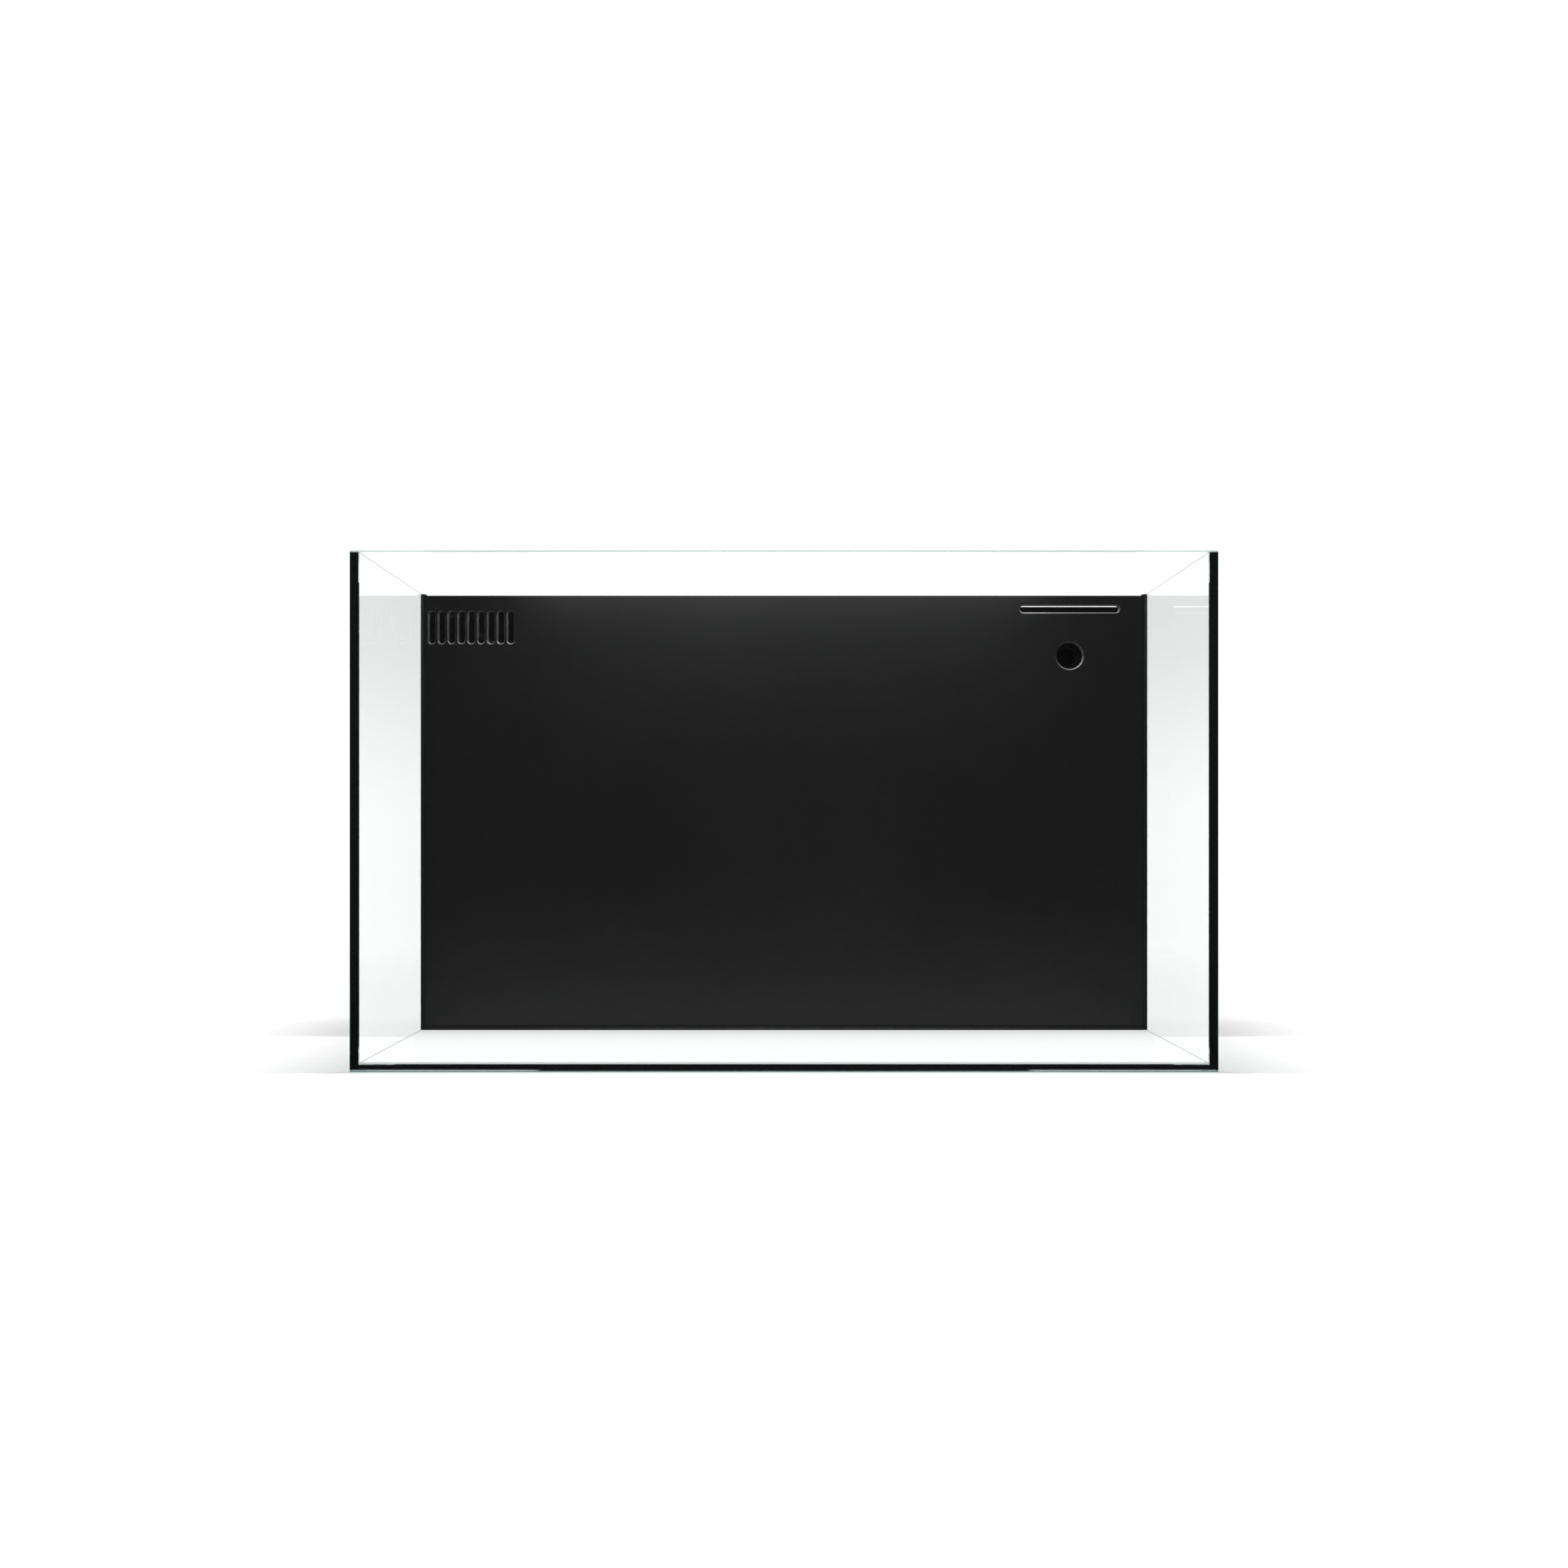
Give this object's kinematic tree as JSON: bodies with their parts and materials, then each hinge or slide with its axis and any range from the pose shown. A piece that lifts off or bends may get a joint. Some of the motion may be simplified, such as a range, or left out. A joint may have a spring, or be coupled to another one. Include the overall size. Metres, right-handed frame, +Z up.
{
  "type": "aquarium",
  "caption": "Rimless glass aquarium with a black partition; the rear bay holds a lift-out media basket, a filter sponge and a return pump.",
  "frame": {"origin": "centre of the base, on the surface that the tank stands on", "axes": "+X to the viewer's right along the long side, +Y from the front pane to the rear bay, +Z up"},
  "size_m": [0.6004, 0.36, 0.36],
  "materials": {
    "glass": "clear float glass, polished edges",
    "silicone": "black silicone, tooled smooth",
    "clear_silicone": "clear silicone, slightly milky",
    "film": "black vinyl film",
    "acrylic": "black acrylic, satin",
    "basket_plastic": "moulded, fine grain",
    "ring_ceramic": "unglazed, porous",
    "carbon": "carbon pellets in a net bag",
    "floss": "white filter floss",
    "foam": "open-cell filter foam",
    "pump_plastic": "moulded, satin",
    "steel": "stainless",
    "dial_plastic": "moulded",
    "impeller_plastic": "moulded",
    "magnet": "ferrite",
    "shaft_ceramic": "ground",
    "rubber": "moulded rubber",
    "hose": "flexible tube"
  },
  "bodies": {
    "tank": {"front_pane": "glass", "rear_pane": "glass", "left_pane": "glass", "right_pane": "glass", "bottom_pane": "glass", "front_seam": "silicone", "rear_seam": "silicone", "left_seam": "clear_silicone", "right_seam": "clear_silicone", "wall_bead": "silicone", "intake_baffle_bead": "silicone", "weir_baffle_bead": "silicone", "return_baffle_bead": "silicone", "rear_film": "film", "left_film": "film", "right_film": "film", "false_wall": "acrylic", "intake_baffle": "acrylic", "weir_baffle": "acrylic", "return_baffle": "acrylic", "sponge_guides": "acrylic", "pump_motor": "pump_plastic", "pump_volute": "pump_plastic", "pump_strainer": "pump_plastic", "outlet_tail": "pump_plastic", "return_elbow": "pump_plastic", "volute_screws": "steel", "impeller_shaft": "shaft_ceramic", "shaft_bushes": "rubber", "suction_cups": "rubber", "cable_gland": "rubber", "return_hose": "hose", "hose_clips": "steel"},
    "basket": {"basket_body": "basket_plastic", "shelf_lower": "basket_plastic", "shelf_upper": "basket_plastic", "ceramic_rings": "ring_ceramic", "carbon_bag": "carbon", "floss_pad": "floss"},
    "bail": {"basket_bail": "basket_plastic"},
    "sponge": {"filter_sponge": "foam"},
    "rotor": {"impeller": "impeller_plastic", "rotor_magnet": "magnet"},
    "dial": {"flow_dial": "dial_plastic"}
  },
  "joints": [
    {"name": "basket_lift", "type": "slide", "parent": "tank", "child": "basket", "axis": [0, 0, 1], "range_m": [0, 0.38]},
    {"name": "bail_swing", "type": "hinge", "parent": "basket", "child": "bail", "pos_m": [-0.253, 0.1329, 0.3053], "axis": [1, 0, 0], "range_deg": [0, 180]},
    {"name": "sponge_lift", "type": "slide", "parent": "tank", "child": "sponge", "axis": [0, 0, 1], "range_m": [0, 0.38]},
    {"name": "impeller_spin", "type": "hinge", "parent": "tank", "child": "rotor", "pos_m": [0.232, 0.131, 0.039], "axis": [1, 0, 0], "continuous": true},
    {"name": "dial_turn", "type": "hinge", "parent": "tank", "child": "dial", "pos_m": [0.209, 0.131, 0.039], "axis": [1, 0, 0], "range_deg": [0, 60]}
  ]
}
